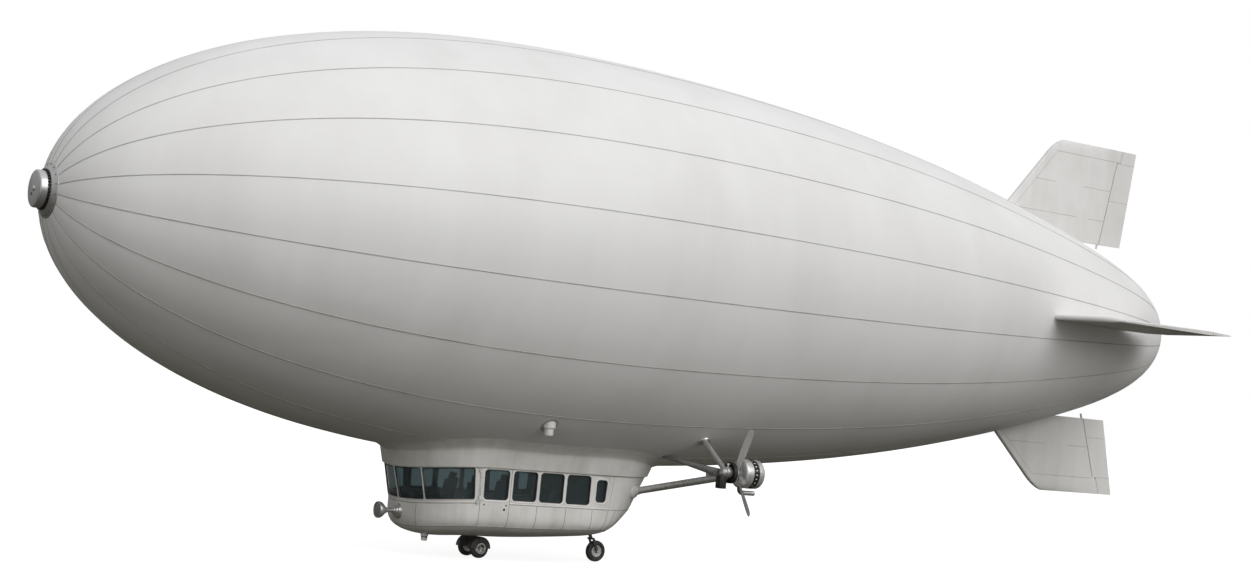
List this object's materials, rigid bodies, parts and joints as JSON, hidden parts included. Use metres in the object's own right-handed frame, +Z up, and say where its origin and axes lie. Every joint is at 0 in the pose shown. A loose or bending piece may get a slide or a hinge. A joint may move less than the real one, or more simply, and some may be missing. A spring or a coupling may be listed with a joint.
{
  "type": "non-rigid airship",
  "caption": "Non-rigid airship with cross tail, hollow windowed cabin slung under the hull, outrigger pusher engines and wheels below, standing as parked.",
  "frame": {"origin": "on the ground under the middle of the overall length, on the centre plane", "axes": "-X towards the nose, +Y to starboard, +Z up"},
  "size_m": [39.3076, 11.752, 14.636],
  "materials": {
    "envelope_fabric": "satin coated cloth",
    "fin_fabric": "satin coated cloth",
    "gondola_paint": "satin paint",
    "engine_paint": "satin paint",
    "satin_metal": "satin",
    "dark_metal": "satin black",
    "propeller_paint": "satin paint",
    "gear_steel": "satin black",
    "bare_steel": "satin",
    "tyre_rubber": "matt",
    "dark_plastic": "matt",
    "tinted_glass": "gloss, dark teal",
    "seat_cloth": "matt",
    "cabin_trim": "satin",
    "floor_metal": "matt"
  },
  "bodies": {
    "airship": {"belly_pan": "gondola_paint", "belly_stub": "gear_steel", "boom_port": "engine_paint", "boom_starboard": "engine_paint", "cabin_ceiling": "cabin_trim", "cabin_floor": "floor_metal", "control_console": "dark_plastic", "door_hinge_rod": "bare_steel", "engine_cowl_port": "engine_paint", "engine_cowl_starboard": "engine_paint", "engine_head_port": "engine_paint", "engine_head_starboard": "engine_paint", "envelope": "envelope_fabric", "fairing_strut_port": "engine_paint", "fairing_strut_starboard": "engine_paint", "fin_bottom": "fin_fabric", "fin_port": "fin_fabric", "fin_starboard": "fin_fabric", "fin_top": "fin_fabric", "front_leg": "gear_steel", "front_mudguard_port": "dark_plastic", "front_mudguard_starboard": "dark_plastic", "gill_ring_port": "dark_metal", "gill_ring_starboard": "dark_metal", "gondola_skirt": "gondola_paint", "lower_nose": "gondola_paint", "lower_side_port": "gondola_paint", "lower_side_starboard": "gondola_paint", "nose_cap": "satin_metal", "nose_flange": "satin_metal", "nose_lamp": "satin_metal", "nose_toothed_ring": "dark_metal", "pilot_seat_port": "seat_cloth", "pilot_seat_starboard": "seat_cloth", "rear_axle": "bare_steel", "rear_leg": "gear_steel", "rear_seat_port": "seat_cloth", "rear_seat_starboard": "seat_cloth", "relief_valve": "satin_metal", "side_glazing_port": "tinted_glass", "side_glazing_starboard": "tinted_glass", "side_wall_port": "gondola_paint", "side_wall_starboard": "gondola_paint", "strut_port": "engine_paint", "strut_starboard": "engine_paint", "tail_shell": "gondola_paint", "windscreen_frame": "gondola_paint", "windscreen_glazing": "tinted_glass"},
    "rudder_top": {"rudder_top": "fin_fabric"},
    "rudder_bottom": {"rudder_bottom": "fin_fabric"},
    "elevator_port": {"elevator_port": "fin_fabric"},
    "elevator_starboard": {"elevator_starboard": "fin_fabric"},
    "cabin_door": {"cabin_door": "gondola_paint", "door_glazing": "tinted_glass"},
    "propeller_port": {"propeller_port": "propeller_paint"},
    "propeller_starboard": {"propeller_starboard": "propeller_paint"},
    "front_wheels": {"front_wheels": "tyre_rubber"},
    "rear_wheel": {"rear_wheel": "tyre_rubber"}
  },
  "joints": [
    {"name": "rudder_top_turn", "type": "hinge", "parent": "airship", "child": "rudder_top", "pos_m": [16.885, 0, 11.22], "axis": [0.2049, 0, 0.9788], "range_deg": [-25, 25]},
    {"name": "rudder_bottom_turn", "type": "hinge", "parent": "airship", "child": "rudder_bottom", "pos_m": [16.795, 0, 5.58], "axis": [0.3309, 0, -0.9436], "range_deg": [-25, 25]},
    {"name": "elevator_port_turn", "type": "hinge", "parent": "airship", "child": "elevator_port", "pos_m": [16.315, -3.1, 8.4], "axis": [-0.123, -0.9924, 0], "range_deg": [-25, 25]},
    {"name": "elevator_starboard_turn", "type": "hinge", "parent": "airship", "child": "elevator_starboard", "pos_m": [16.315, 3.1, 8.4], "axis": [-0.123, 0.9924, 0], "range_deg": [-25, 25]},
    {"name": "cabin_door_swing", "type": "hinge", "parent": "airship", "child": "cabin_door", "pos_m": [-7.61177, -2.03661, 1.755], "axis": [0, 0, -1], "range_deg": [0, 95]},
    {"name": "propeller_port_spin", "type": "hinge", "parent": "airship", "child": "propeller_port", "pos_m": [-1.125, -4.5, 2.95], "axis": [1, 0, 0], "continuous": true},
    {"name": "propeller_starboard_spin", "type": "hinge", "parent": "airship", "child": "propeller_starboard", "pos_m": [-1.125, 4.5, 2.95], "axis": [1, 0, 0], "continuous": true},
    {"name": "front_wheels_roll", "type": "hinge", "parent": "airship", "child": "front_wheels", "pos_m": [-6.445, 0, 0.27], "axis": [0, 1, 0], "continuous": true},
    {"name": "rear_wheel_roll", "type": "hinge", "parent": "airship", "child": "rear_wheel", "pos_m": [-2.405, 0, 0.3], "axis": [0, 1, 0], "continuous": true}
  ]
}
